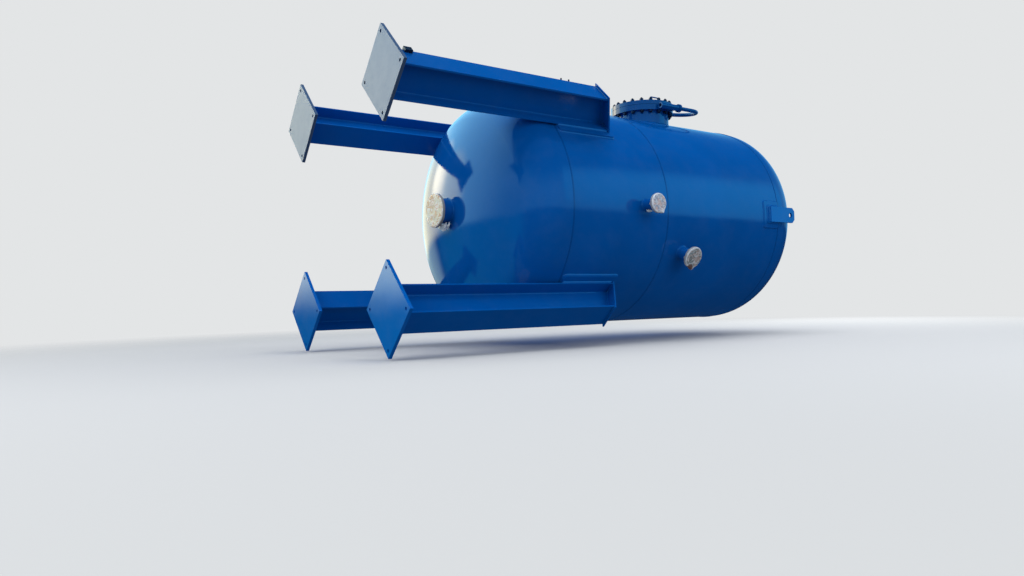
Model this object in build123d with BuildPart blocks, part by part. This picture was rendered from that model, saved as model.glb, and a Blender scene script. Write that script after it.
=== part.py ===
# Mixed bed ion exchange vessel: upright pressure vessel on four legs, with its manway on -Y.
# Z is the vessel axis and z = 0 is the underside of the base plates. Sizes are in mm.
import math
import os
from dataclasses import dataclass

from build123d import *

os.makedirs("parts", exist_ok=True)


@dataclass
class Pipe:
    """One pipe size with its slip-on flange."""

    radius: float
    wall: float
    rim: float
    thick: float
    bolt_edge: float
    hole_r: float
    hub: float
    hub_length: float
    bolts: int = 8
    face_gap: float = 5.0

    @property
    def flange_r(self):
        """Outer radius of the flange."""
        return self.radius + self.rim

    @property
    def bolt_r(self):
        """Radius of the bolt circle."""
        return self.flange_r - self.bolt_edge

    @property
    def face_r(self):
        """Radius of the raised face inside the bolts."""
        return self.bolt_r - self.hole_r - self.face_gap


# Shell and heads
shell_r = 1235.0
wall = 16.0
seam_low = 1912.0
lower_course = 1306.0
upper_course = 1908.0
straight_low = 100.0
straight_top = 58.0
crown_factor = 1.8
knuckle_factor = 0.346
seam_mid = seam_low + lower_course
seam_top = seam_mid + upper_course
low_tangent = seam_low - straight_low
top_tangent = seam_top + straight_top

# Pipe sizes of the nozzles
small_pipe = Pipe(
    radius=57.15,
    wall=6.0,
    rim=41.85,
    thick=23.9,
    bolt_edge=17.5,
    hole_r=9.5,
    hub=8.5,
    hub_length=9.0,
)
middle_pipe = Pipe(
    radius=70.65,
    wall=6.6,
    rim=45.35,
    thick=23.9,
    bolt_edge=17.5,
    hole_r=9.5,
    hub=9.5,
    hub_length=12.0,
)
large_pipe = Pipe(
    radius=109.55,
    wall=8.2,
    rim=61.9,
    thick=28.6,
    bolt_edge=22.2,
    hole_r=11.1,
    hub=13.5,
    hub_length=16.0,
)
end_pipe = Pipe(
    radius=133.7,
    wall=9.3,
    rim=41.3,
    thick=28.6,
    bolt_edge=18.0,
    hole_r=9.5,
    hub=9.0,
    hub_length=16.0,
    bolts=12,
)
raised_face = 1.6
bore_inside = 6.0

# Directions round the vessel: the front, the back and the manway's side, in degrees
front_deg = 0.0
back_deg = 180.0
manway_deg = -90.0

# Side nozzles, and the handhole below the manway
stand_off = 190.0
low_nozzle_z = seam_low + 972.0
high_nozzle_z = seam_mid + 285.0
high_nozzle_deg = 22.7
handhole_z = seam_low + 824.0
handhole_reach = 293.0
end_reach = 153.0
cover_skirt = 22.0
cover_front = 7.0
cover_wall = 2.0
gasket_thick = 3.0

# Legs and their wear pads
pad_thick = 25.0
pad_width = 400.0
pad_low = seam_low + 23.0
pad_length = 745.0
pad_corner = 40.0
beam_depth = 354.0
beam_width = 254.0
beam_flange = 16.4
beam_web = 9.6
beam_root_r = 15.0
beam_cope = 1.0
plate_side = 600.0
plate_thick = 32.0
anchor_offset = 250.0
anchor_hole_r = 16.0
cap_thick = 16.0
cap_margin = 13.0
cap_overhang = 26.0
cap_slope = 0.6
cap_drop = 263.0
pad_high = pad_low + pad_length
cap_low = pad_high - cap_drop
leg_inner = shell_r + pad_thick - beam_cope
leg_outer = leg_inner + beam_depth
leg_centre = leg_inner + beam_depth / 2

# Grounding block on one leg
block_width = 60.0
block_height = 76.0
block_thick = 28.0
block_z = 228.0
block_hole_r = 6.5

# Manway on -Y with its cover and handles
manway_z = seam_mid + 888.0
neck_r = 330.0
neck_wall = 16.0
manway_rim = 58.0
manway_flange_thick = 66.0
manway_reach = 189.0
cover_thick = 48.0
manway_bolt_edge = 30.0
manway_bolts = 20
manway_hole_r = 14.0
gasket_gap = 2.0
handle_x = 225.0
handle_reach = 86.0
handle_length = 150.0
handle_bend = 25.0
handle_r = 8.0
manway_flange_r = neck_r + manway_rim
manway_bolt_r = manway_flange_r - manway_bolt_edge
gasket_r = manway_bolt_r - manway_hole_r - gasket_gap
manway_face = shell_r + manway_reach
cover_in = manway_face + gasket_thick
cover_out = cover_in + cover_thick

# Davit that turns beside the flange and carries the cover
davit_pipe_r = 24.0
davit_pipe_wall = 5.0
davit_fit = 0.5
davit_seat = 0.3
davit_gap = 42.0
davit_inset = 29.0
davit_clear = 66.0
davit_foot = 10.0
davit_end = 6.0
sleeve_wall = 12.5
sleeve_drop = 116.0
sleeve_length = 310.0
bracket_thick = 14.0
bracket_depth = 50.0
bracket_low = 60.0
bracket_high = 30.0
collar_rim = 26.0
collar_high = 32.0
eye_rod_r = 8.0
eye_hole_r = 12.0
ear_pin_rise = 28.0
ear_pin_r = 8.0
ear_width = 60.0
ear_thick = 10.0
ear_gap = 24.0
davit_x = manway_flange_r + davit_gap
davit_y = davit_inset - manway_face
hang_r = cover_in + cover_thick / 2
sleeve_bore_r = davit_pipe_r + davit_fit
sleeve_low = manway_z - sleeve_drop
sleeve_high = sleeve_low + sleeve_length
rim_top = manway_z + manway_flange_r
bend_z = rim_top + davit_clear

# Lifting lugs at the shell's top
lug_width = 184.0
lug_low = seam_top - 191.0
lug_length = 455.0
lug_thick = 25.0
lug_corner = 40.0
lug_hole_r = 30.0
lug_hole_drop = 78.0
lug_pad_width = 320.0
lug_pad_low = seam_top - 276.0
lug_pad_length = 262.0
lug_pad_thick = 12.0
lug_pad_corner = 20.0
doubler_margin = 14.0
doubler_corner = 12.0
lug_high = lug_low + lug_length
lug_pad_high = lug_pad_low + lug_pad_length
pad_out = shell_r + lug_pad_thick
doubler_out = pad_out + lug_pad_thick

# Colours of the paint, the covers, the rubber and the steel
blue = Color(0.0, 0.25, 0.6)
pale = Color(0.85, 0.85, 0.8)
dark = Color(0.15, 0.15, 0.16)
steel = Color(0.5, 0.5, 0.5)


def save(part, name, colour):
    """Label one node and write its STEP file."""
    part.label = name
    part.color = colour
    export_step(part, f"parts/{name}.step")


def facing(deg, r, z):
    """Plane that faces outward at an angle, at a distance from the axis: X is level and Y is up."""
    turn = math.radians(deg)
    outward = (math.cos(turn), math.sin(turn), 0)
    level_way = (-outward[1], outward[0], 0)
    return Plane(origin=(r * outward[0], r * outward[1], z), x_dir=level_way, z_dir=outward)


def upright(deg):
    """Plane through the vessel's axis: X runs outward at an angle and Y runs up."""
    side = facing(deg, 0, 0)
    return Plane(origin=side.origin, x_dir=side.z_dir, z_dir=-side.x_dir)


def through(seat):
    """Plane through a seat's axis: X runs across the seat and Y runs out along its axis."""
    return Plane(origin=seat.origin, x_dir=seat.x_dir, z_dir=-seat.y_dir)


def head_points(tangent_z, side, inset):
    """Pole, crown middle, joint, knuckle middle and edge of a dished end's two arcs."""
    crown = crown_factor * shell_r
    knuckle = knuckle_factor * shell_r
    depth = math.sqrt((crown - knuckle) ** 2 - (shell_r - knuckle) ** 2)
    meet = math.atan2(shell_r - knuckle, depth)
    knuckle_middle = (meet + math.pi / 2) / 2

    def on_arc(centre_r, centre_h, radius, angle):
        r = centre_r + (radius - inset) * math.sin(angle)
        return (r, tangent_z + side * (centre_h + (radius - inset) * math.cos(angle)))

    pole = on_arc(0, -depth, crown, 0)
    crown_middle = on_arc(0, -depth, crown, meet / 2)
    joint = on_arc(0, -depth, crown, meet)
    middle = on_arc(shell_r - knuckle, 0, knuckle, knuckle_middle)
    return [pole, crown_middle, joint, middle, (shell_r - inset, tangent_z)]


def curved_pads(angles, inner, outer, low, high, width, corner):
    """Rounded pads that follow the shell, one at each angle."""
    deep = width ** 2 / (4 * inner)
    with BuildPart() as made:
        for deg in angles:
            with BuildSketch(facing(deg, inner - deep, (low + high) / 2)):
                RectangleRounded(width, high - low, corner)
            extrude(amount=outer - inner + deep)
        with BuildSketch(Plane.XY.offset(low - wall)):
            Circle(outer)
            Circle(inner, mode=Mode.SUBTRACT)
        extrude(amount=high - low + 2 * wall, mode=Mode.INTERSECT)
    return made.part


def flanged_pipe(pipe, seat, run):
    """Pipe with its slip-on flange, turned about the seat's axis, drilled and trimmed to the inside."""
    bore_r = pipe.radius - pipe.wall
    hub_r = pipe.radius + pipe.hub
    hub_back = -pipe.thick - pipe.hub_length
    with BuildPart() as made:
        with BuildSketch(through(seat)):
            with BuildLine():
                Polyline(
                    (bore_r, -run),
                    (pipe.radius, -run),
                    (pipe.radius, hub_back),
                    (hub_r, hub_back),
                    (hub_r, -pipe.thick),
                    (pipe.flange_r, -pipe.thick),
                    (pipe.flange_r, -raised_face),
                    (pipe.face_r, -raised_face),
                    (pipe.face_r, 0),
                    (bore_r, 0),
                    close=True,
                )
            make_face()
        revolve(axis=Axis(seat.origin, seat.z_dir))
        with Locations(seat):
            with PolarLocations(pipe.bolt_r, pipe.bolts, start_angle=180 / pipe.bolts):
                Hole(pipe.hole_r, depth=pipe.thick)
        add(inside.part, mode=Mode.SUBTRACT)
    return made.part


def end_cover(pipe, seat):
    """Protective cover pushed over a flange: disc in front and a thin skirt round the rim."""
    with BuildPart() as made:
        with BuildSketch(seat.offset(-cover_skirt)):
            Circle(pipe.flange_r + cover_wall)
        extrude(amount=cover_skirt + cover_front)
        with BuildSketch(seat.offset(-cover_skirt)):
            Circle(pipe.flange_r)
        extrude(amount=cover_skirt, mode=Mode.SUBTRACT)
    return made.part


# Space inside the vessel, which trims whatever is set through its wall
low_points = head_points(low_tangent, -1, wall)
top_points = head_points(top_tangent, 1, wall)
with BuildPart() as inside:
    with BuildSketch(Plane.XZ):
        with BuildLine():
            ThreePointArc(*low_points[:3])
            ThreePointArc(*low_points[2:])
            Line(low_points[-1], top_points[-1])
            ThreePointArc(*top_points[:3])
            ThreePointArc(*top_points[2:])
            Line(top_points[0], low_points[0])
        make_face()
    revolve(axis=Axis.Z)

# Heads, each with its nozzle on the centre
end_run = end_reach + wall + bore_inside
ends = {"bottom": (-1, low_tangent, seam_low), "top": (1, top_tangent, seam_top)}
for end, (side, tangent_z, seam_z) in ends.items():
    points = head_points(tangent_z, side, 0)
    pole_z = points[0][1]
    with BuildPart() as head:
        with BuildSketch(Plane.XZ):
            with BuildLine():
                ThreePointArc(*points[:3])
                ThreePointArc(*points[2:])
                Polyline(points[-1], (shell_r, seam_z), (0, seam_z), points[0])
            make_face()
        revolve(axis=Axis.Z)
        add(inside.part, mode=Mode.SUBTRACT)
        with Locations((0, 0, pole_z)):
            Cylinder(end_pipe.radius, 4 * wall, mode=Mode.SUBTRACT)
    end_seat = Plane(origin=(0, 0, pole_z + side * end_reach), z_dir=(0, 0, side))
    save(head.part, f"{end}_head", blue)
    save(flanged_pipe(end_pipe, end_seat, end_run), f"{end}_nozzle", blue)
    save(end_cover(end_pipe, end_seat), f"{end}_nozzle_cover", pale)

# Side nozzles and the handhole nozzle
low_seat = facing(front_deg, shell_r + stand_off, low_nozzle_z)
high_seat = facing(high_nozzle_deg, shell_r + stand_off, high_nozzle_z)
hand_seat = facing(manway_deg, shell_r + handhole_reach, handhole_z)
save(flanged_pipe(small_pipe, low_seat, stand_off + 4 * wall), "side_nozzle_low", blue)
save(flanged_pipe(middle_pipe, high_seat, stand_off + 4 * wall), "side_nozzle_high", blue)
save(flanged_pipe(large_pipe, hand_seat, handhole_reach + 4 * wall), "handhole_nozzle", blue)
save(end_cover(small_pipe, low_seat), "side_nozzle_low_cover", pale)
save(end_cover(middle_pipe, high_seat), "side_nozzle_high_cover", pale)

# Handhole's gasket and blind flange
with BuildPart() as handhole_gasket:
    with BuildSketch(hand_seat):
        Circle(large_pipe.face_r)
        Circle(large_pipe.radius, mode=Mode.SUBTRACT)
    extrude(amount=gasket_thick)
save(handhole_gasket.part, "handhole_gasket", dark)

with BuildPart() as handhole_blind:
    with BuildSketch(hand_seat.offset(gasket_thick)):
        Circle(large_pipe.face_r)
    extrude(amount=raised_face)
    with BuildSketch(hand_seat.offset(gasket_thick + raised_face)):
        Circle(large_pipe.flange_r)
        with PolarLocations(large_pipe.bolt_r, large_pipe.bolts, start_angle=180 / large_pipe.bolts):
            Circle(large_pipe.hole_r, mode=Mode.SUBTRACT)
    extrude(amount=large_pipe.thick - raised_face)
save(handhole_blind.part, "handhole_blind", blue)

# Shell: two courses of four rolled plates, holed for what is set through them
manway_seat = facing(manway_deg, manway_face, manway_z)
openings = [
    (manway_seat, neck_r),
    (low_seat, small_pipe.radius),
    (high_seat, middle_pipe.radius),
    (hand_seat, large_pipe.radius),
]
for course, low, high in (("lower", seam_low, seam_mid), ("upper", seam_mid, seam_top)):
    for index, side in enumerate(("rear", "back", "manway", "front")):
        with BuildPart() as plate:
            with BuildSketch(Plane.XY.offset(low)):
                with BuildLine():
                    outer_arc = CenterArc((0, 0), shell_r, 45 + 90 * index, 90)
                    inner_arc = CenterArc((0, 0), shell_r - wall, 45 + 90 * index, 90)
                    Line(outer_arc @ 0, inner_arc @ 0)
                    Line(outer_arc @ 1, inner_arc @ 1)
                make_face()
            extrude(amount=high - low)
            for seat, radius in openings:
                with Locations(seat):
                    Hole(radius, depth=shell_r)
        save(plate.part, f"{course}_shell_{side}", blue)

# Base plates with their anchor holes
with BuildPart() as base_plates:
    with BuildSketch():
        with PolarLocations(leg_centre, 4, start_angle=45):
            Rectangle(plate_side, plate_side)
            with GridLocations(2 * anchor_offset, 2 * anchor_offset, 2, 2):
                Circle(anchor_hole_r, mode=Mode.SUBTRACT)
    extrude(amount=plate_thick)
save(base_plates.part, "base_plates", blue)

# Legs: wide-flange beams cut on a slope under their caps, and fitted to the wear pads
slope_drop = cap_thick * math.sqrt(1 + cap_slope ** 2)
slope_rise = cap_slope * (leg_outer - shell_r)
leg_angles = {"leg_front_manway": -45, "leg_front_rear": 45, "leg_back_rear": 135, "leg_back_manway": 225}
for name, leg_deg in leg_angles.items():
    with BuildPart() as leg:
        with BuildSketch(Plane.XY.offset(plate_thick).rotated((0, 0, leg_deg))) as section:
            with Locations((leg_inner + beam_flange / 2, 0), (leg_outer - beam_flange / 2, 0)):
                Rectangle(beam_flange, beam_width)
            with Locations((leg_centre, 0)):
                Rectangle(beam_depth - beam_flange, beam_web)
            roots = section.vertices().filter_by(lambda v: abs(abs(v.Y) - beam_web / 2) < 0.1)
            fillet(roots, radius=beam_root_r)
        extrude(amount=pad_high)
        with BuildSketch(upright(leg_deg)):
            with BuildLine():
                Polyline(
                    (shell_r, cap_low + slope_rise - slope_drop),
                    (leg_outer, cap_low - slope_drop),
                    (leg_outer + cap_overhang, cap_low - slope_drop),
                    (leg_outer + cap_overhang, 2 * pad_high),
                    (shell_r, 2 * pad_high),
                    close=True,
                )
            make_face()
        extrude(amount=beam_width, both=True, mode=Mode.SUBTRACT)
        with BuildSketch():
            Circle(shell_r + pad_thick)
        extrude(amount=2 * pad_high, mode=Mode.SUBTRACT)
    save(leg.part, name, blue)

# Sloped caps on the legs
cap_end = leg_outer + cap_overhang
cap_end_z = cap_low - cap_slope * cap_overhang
with BuildPart() as leg_caps:
    for leg_deg in leg_angles.values():
        with BuildSketch(upright(leg_deg)):
            with BuildLine():
                Polyline(
                    (shell_r, cap_low + slope_rise),
                    (cap_end, cap_end_z),
                    (cap_end, cap_end_z - slope_drop),
                    (shell_r, cap_low + slope_rise - slope_drop),
                    close=True,
                )
            make_face()
        extrude(amount=beam_width / 2 + cap_margin, both=True)
    with BuildSketch():
        Circle(shell_r + pad_thick)
    extrude(amount=2 * pad_high, mode=Mode.SUBTRACT)
save(leg_caps.part, "leg_caps", blue)

# Wear pads between the shell and the legs
pad_outer = shell_r + pad_thick
leg_pads = curved_pads(leg_angles.values(), shell_r, pad_outer, pad_low, pad_high, pad_width, pad_corner)
save(leg_pads, "leg_wear_pads", blue)

# Grounding block on the outer flange of one leg, with two tapped holes
with BuildPart() as grounding_block:
    with BuildSketch(facing(leg_angles["leg_front_manway"], leg_outer, block_z)):
        with Locations((block_width / 4 - beam_width / 2, 0)):
            Rectangle(block_width, block_height)
            with GridLocations(1, block_height / 2, 1, 2):
                Circle(block_hole_r, mode=Mode.SUBTRACT)
    extrude(amount=block_thick)
save(grounding_block.part, "grounding_block", dark)

# Manway neck, flange, gasket and cover
with BuildPart() as manway_neck:
    with BuildSketch(manway_seat):
        Circle(neck_r)
        Circle(neck_r - neck_wall, mode=Mode.SUBTRACT)
    extrude(amount=-shell_r)
    add(inside.part, mode=Mode.SUBTRACT)
save(manway_neck.part, "manway_neck", blue)

with BuildPart() as manway_flange:
    with BuildSketch(manway_seat):
        Circle(manway_flange_r)
        Circle(neck_r, mode=Mode.SUBTRACT)
        with PolarLocations(manway_bolt_r, manway_bolts, start_angle=180 / manway_bolts):
            Circle(manway_hole_r, mode=Mode.SUBTRACT)
    extrude(amount=-manway_flange_thick)
save(manway_flange.part, "manway_flange", blue)

with BuildPart() as manway_gasket:
    with BuildSketch(manway_seat):
        Circle(gasket_r)
        Circle(neck_r - neck_wall, mode=Mode.SUBTRACT)
    extrude(amount=gasket_thick)
save(manway_gasket.part, "manway_gasket", dark)

with BuildPart() as manway_cover:
    with BuildSketch(manway_seat.offset(gasket_thick)):
        Circle(manway_flange_r)
        with PolarLocations(manway_bolt_r, manway_bolts, start_angle=180 / manway_bolts):
            Circle(manway_hole_r, mode=Mode.SUBTRACT)
    extrude(amount=cover_thick)
save(manway_cover.part, "manway_cover", blue)

# Grab handles on the cover, bent from round bar
handle_low = manway_z - handle_length / 2
handle_high = manway_z + handle_length / 2
handle_tip = handle_r - cover_out - handle_reach
with BuildPart() as cover_handles:
    for x in (-handle_x, handle_x):
        with BuildLine() as path:
            FilletPolyline(
                (x, -cover_out, handle_low),
                (x, handle_tip, handle_low),
                (x, handle_tip, handle_high),
                (x, -cover_out, handle_high),
                radius=handle_bend,
            )
        with BuildSketch(Plane(origin=(x, -cover_out, handle_low), z_dir=(0, -1, 0))):
            Circle(handle_r)
        sweep(path=path.line)
save(cover_handles.part, "cover_handles", blue)

# Davit arm: bent pipe with a plugged end, and the collar that rests on the sleeve
span = math.hypot(davit_x, hang_r + davit_y)
foot_z = sleeve_low + davit_foot
end_z = bend_z - davit_end
swing = Plane(
    origin=(davit_x, davit_y, 0),
    x_dir=(-davit_x, -hang_r - davit_y, 0),
    z_dir=(-hang_r - davit_y, davit_x, 0),
)
with BuildPart() as davit_arm:
    with BuildLine(swing) as path:
        Line((0, foot_z), (0, bend_z))
        ThreePointArc((0, bend_z), (span / 2, bend_z + span / 2), (span, bend_z))
        Line((span, bend_z), (span, end_z))
    with BuildSketch(Plane(origin=(davit_x, davit_y, foot_z))):
        Circle(davit_pipe_r)
        Circle(davit_pipe_r - davit_pipe_wall, mode=Mode.SUBTRACT)
    sweep(path=path.line)
    with BuildSketch(Plane(origin=(0, -hang_r, end_z))):
        Circle(davit_pipe_r)
    extrude(amount=davit_pipe_wall)
    with BuildSketch(Plane(origin=(davit_x, davit_y, sleeve_high + davit_seat))):
        Circle(davit_pipe_r + collar_rim)
        Circle(davit_pipe_r - davit_pipe_wall, mode=Mode.SUBTRACT)
    extrude(amount=collar_high)
save(davit_arm.part, "davit_arm", blue)

# Hanger: eye bolt under the arm's end, round the pin between the cover's ears
pin_z = rim_top + ear_pin_rise
eye_z = pin_z + eye_hole_r - ear_pin_r - davit_seat
eye_mid_r = eye_hole_r + eye_rod_r
with BuildPart() as hanger_eye:
    with BuildSketch(Plane(origin=(0, -hang_r, eye_z + eye_mid_r))):
        Circle(eye_rod_r)
    extrude(amount=end_z - eye_z - eye_mid_r)
    with Locations(facing(manway_deg, hang_r, eye_z)):
        Torus(eye_mid_r, eye_rod_r)
save(hanger_eye.part, "hanger_eye", steel)

# Two ears with their pin, welded to the cover's rim
pin_length = ear_gap + 3 * ear_thick
with BuildPart() as cover_ears:
    with BuildSketch(facing(manway_deg, hang_r - pin_length / 2, pin_z)):
        Circle(ear_pin_r)
    extrude(amount=pin_length)
    for ear_r in (hang_r - ear_gap / 2 - ear_thick, hang_r + ear_gap / 2):
        with BuildSketch(facing(manway_deg, ear_r, pin_z)):
            Circle(ear_width / 2)
            Rectangle(ear_width, pin_z - manway_z, align=(Align.CENTER, Align.MAX))
        extrude(amount=ear_thick)
    with BuildSketch(facing(manway_deg, cover_in - wall, manway_z)):
        Circle(manway_flange_r)
    extrude(amount=cover_thick + 2 * wall, mode=Mode.SUBTRACT)
save(cover_ears.part, "cover_ears", blue)

# Davit sleeve on two brackets from the flange's rim
with BuildPart() as davit_sleeve:
    with BuildSketch(Plane(origin=(davit_x, davit_y, sleeve_low))):
        Circle(sleeve_bore_r + sleeve_wall)
    extrude(amount=sleeve_length)
    for z in (sleeve_low + bracket_low, sleeve_high - bracket_high):
        with Locations((davit_x - davit_gap, davit_y, z)):
            Box(2 * davit_gap, bracket_depth, bracket_thick)
    with BuildSketch(manway_seat.offset(wall)):
        Circle(manway_flange_r)
    extrude(amount=-manway_flange_thick - 2 * wall, mode=Mode.SUBTRACT)
    with BuildSketch(Plane(origin=(davit_x, davit_y, sleeve_low))):
        Circle(sleeve_bore_r)
    extrude(amount=sleeve_length, mode=Mode.SUBTRACT)
save(davit_sleeve.part, "davit_sleeve", blue)

# Lifting lugs on both sides of the shell's top, each on two stacked pads
doubler_low = lug_low - 2 * doubler_margin
doubler_high = lug_pad_high - doubler_margin
doubler_width = lug_width + 2 * doubler_margin
lug_back = doubler_out - lug_width ** 2 / (8 * doubler_out)
for name, lug_deg in (("front", front_deg), ("back", back_deg)):
    with BuildPart() as lug:
        with BuildSketch(facing(lug_deg, lug_back, (lug_low + lug_high) / 2)) as outline:
            Rectangle(lug_width, lug_length)
            chamfer(outline.vertices().group_by(Axis.Y)[-1], length=lug_corner)
            with Locations((0, lug_length / 2 - lug_hole_drop)):
                Circle(lug_hole_r, mode=Mode.SUBTRACT)
        extrude(amount=lug_thick)
        with BuildSketch():
            Circle(doubler_out)
        extrude(amount=doubler_high, mode=Mode.SUBTRACT)
    save(lug.part, f"lifting_lug_{name}", blue)
    pad_sizes = (lug_pad_low, lug_pad_high, lug_pad_width, lug_pad_corner)
    save(curved_pads([lug_deg], shell_r, pad_out, *pad_sizes), f"lug_pad_{name}", blue)
    doubler_sizes = (doubler_low, doubler_high, doubler_width, doubler_corner)
    save(curved_pads([lug_deg], pad_out, doubler_out, *doubler_sizes), f"lug_doubler_{name}", blue)
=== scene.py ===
"""Mixed bed ion exchange vessel: paint, fasteners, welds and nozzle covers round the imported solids."""
import math

import bmesh
import bpy
import numpy as np
from bpy.props import FloatProperty, FloatVectorProperty, IntProperty, PointerProperty
from mathutils import Matrix, Vector


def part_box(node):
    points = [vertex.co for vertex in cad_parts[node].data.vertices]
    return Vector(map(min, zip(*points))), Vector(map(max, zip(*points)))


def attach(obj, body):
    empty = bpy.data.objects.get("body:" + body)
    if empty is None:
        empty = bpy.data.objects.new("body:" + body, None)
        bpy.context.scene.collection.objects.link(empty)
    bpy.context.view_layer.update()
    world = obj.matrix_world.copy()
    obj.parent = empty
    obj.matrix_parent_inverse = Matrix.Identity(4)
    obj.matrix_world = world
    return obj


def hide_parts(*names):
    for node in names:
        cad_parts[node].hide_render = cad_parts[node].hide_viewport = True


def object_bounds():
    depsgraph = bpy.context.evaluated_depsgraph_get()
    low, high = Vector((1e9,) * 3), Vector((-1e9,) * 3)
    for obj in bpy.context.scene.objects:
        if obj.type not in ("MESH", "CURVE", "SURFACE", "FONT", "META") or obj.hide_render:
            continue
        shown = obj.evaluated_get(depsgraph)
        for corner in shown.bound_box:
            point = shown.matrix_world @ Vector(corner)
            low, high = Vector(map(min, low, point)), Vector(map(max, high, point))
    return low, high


bl_info = {
    "name": "Ion exchange vessel finish",
    "version": (1, 0, 0),
    "blender": (4, 5, 0),
    "location": "View3D > Sidebar > Vessel",
    "description": "Paints the vessel, adds its studs, nuts, welds and nozzle covers, and sets the stage",
    "category": "Object",
}

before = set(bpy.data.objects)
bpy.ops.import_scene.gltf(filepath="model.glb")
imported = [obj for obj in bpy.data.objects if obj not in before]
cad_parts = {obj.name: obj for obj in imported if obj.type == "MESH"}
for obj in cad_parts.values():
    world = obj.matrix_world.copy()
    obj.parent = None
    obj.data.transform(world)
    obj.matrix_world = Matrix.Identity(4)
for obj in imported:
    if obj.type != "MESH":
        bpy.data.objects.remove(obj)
cad_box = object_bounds()


def sides(node):
    """Lowest and highest corner of a CAD node as arrays."""
    low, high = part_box(node)
    return np.array(low), np.array(high)


def levels(node):
    """Lowest and highest z of a CAD node."""
    return tuple(float(corner[2]) for corner in sides(node))


# Directions: outwards on the manway side, towards the low side nozzle, and up the vessel's axis
OUT = np.array([0.0, -1.0, 0.0])
FRONT = np.array([1.0, 0.0, 0.0])
UP = np.array([0.0, 0.0, 1.0])

# Sizes read from the solids, in metres
SHELL_R = float(sides("bottom_head")[1][0])
LOW_SEAM, MID_SEAM = levels("lower_shell_front")
TOP_SEAM = levels("upper_shell_front")[1]
LOW_POLE, TOP_POLE = levels("bottom_head")[0], levels("top_head")[1]
PAD_LOW, PAD_HIGH = levels("leg_wear_pads")
PLATE_TOP = levels("base_plates")[1]
MANWAY_Z = sum(levels("manway_cover")) / 2
COVER_FACE = float(sides("manway_cover")[0][1])
FLANGE_BACK = float(sides("manway_flange")[1][1])
HAND_Z = sum(levels("handhole_blind")) / 2
HAND_FACE = float(sides("handhole_blind")[0][1])
HAND_FLANGE_FACE = float(sides("handhole_gasket")[1][1])
LUG_LOW = levels("lifting_lug_front")[0]
LUG_PAD_LOW, LUG_PAD_HIGH = levels("lug_pad_front")
DOUBLER_LOW, DOUBLER_HIGH = levels("lug_doubler_front")

# Dished heads: a crown, a knuckle and the tangent lines where the shell's cylinder begins
CROWN_R = 1.8 * SHELL_R
KNUCKLE_R = 0.346 * SHELL_R
CROWN_DEPTH = math.sqrt((CROWN_R - KNUCKLE_R) ** 2 - (SHELL_R - KNUCKLE_R) ** 2)
CROWN_EDGE = CROWN_R * (SHELL_R - KNUCKLE_R) / (CROWN_R - KNUCKLE_R)
LOW_TANGENT = LOW_POLE + CROWN_R - CROWN_DEPTH
TOP_TANGENT = TOP_POLE - CROWN_R + CROWN_DEPTH

# Sizes of the steelwork that the welds and fasteners follow, in metres
SHELL_WALL = 0.016
PAD_THICK = 0.025
PAD_WIDTH = 0.400
PAD_CORNER = 0.040
LEG_DEGREES = (-45.0, 45.0, 135.0, 225.0)
BEAM_DEPTH = 0.354
BEAM_WIDTH = 0.254
BEAM_FLANGE = 0.0164
BEAM_WEB = 0.0096
BEAM_ROOT = 0.015
BEAM_SEAT = 0.001
BEAM_CENTRE = SHELL_R + PAD_THICK - BEAM_SEAT + BEAM_DEPTH / 2
CAP_SLOPE = 0.6
CAP_THICK = 0.016
CAP_DROP = 0.263
CAP_LOW = PAD_HIGH - CAP_DROP
CAP_MARGIN = 0.013
CAP_HALF = BEAM_WIDTH / 2 + CAP_MARGIN
NECK_R = 0.330
LOW_NECK_R = 0.05715
HIGH_NECK_R = 0.07065
HAND_NECK_R = 0.10955
END_NECK_R = 0.1337
STAND_OFF = 0.190
HIGH_DEGREES = 22.7
MANWAY_STUDS_R = 0.358
HAND_STUDS_R = 0.14925
HAND_STUDS = 8
HAND_FLANGE_THICK = 0.0286
HANDLE_R = 0.008
LUG_WIDTH = 0.184
LUG_PAD_WIDTH = 0.320
LUG_PAD_CORNER = 0.020
LUG_PAD_THICK = 0.012
DOUBLER_WIDTH = 0.212
DOUBLER_CORNER = 0.012
PAINT_THICK = 0.0008

# Long seams: angle, and the girth seams that each runs between
LONG_SEAMS = ((112.0, LOW_SEAM, MID_SEAM), (158.0, MID_SEAM, TOP_SEAM))

# The open nozzles: middle of the face, axis and radius of the flange
HIGH_SIDE = np.array([math.cos(math.radians(HIGH_DEGREES)), math.sin(math.radians(HIGH_DEGREES)), 0.0])
NOZZLES = {}
for node, axis in (("side_nozzle_low", FRONT), ("side_nozzle_high", HIGH_SIDE)):
    low, high = levels(node)
    NOZZLES[node] = ((SHELL_R + STAND_OFF) * axis + (low + high) / 2 * UP, axis, (high - low) / 2)
for node, end, axis in (("bottom_nozzle", 0, -UP), ("top_nozzle", 1, UP)):
    NOZZLES[node] = (levels(node)[end] * UP, axis, float(sides(node)[1][0]))

# Nodes whose finish isn't their group's. The manway's parts and its neck take a darker enamel, which is
# painted shade
FINISHES = {
    "polyurethane_enamel_on_plates": ("base_plates", "lifting_lug_front", "lifting_lug_back"),
    "polyurethane_enamel_on_manway_painted_shade": (
        "manway_flange", "manway_cover", "cover_handles", "cover_ears", "davit_arm", "davit_sleeve",
    ),
    "polyurethane_enamel_painted_shade": ("manway_neck",),
    "epdm_rubber_moulded": ("manway_gasket", "handhole_gasket"),
    "black_oxide_studs": ("hanger_eye",),
    "black_oxide_block": ("grounding_block",),
}


def metres(name, description, default, low, high):
    """Property that holds a length."""
    return FloatProperty(
        name=name, description=description, default=default, min=low, max=high,
        subtype="DISTANCE", unit="LENGTH",
    )


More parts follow.
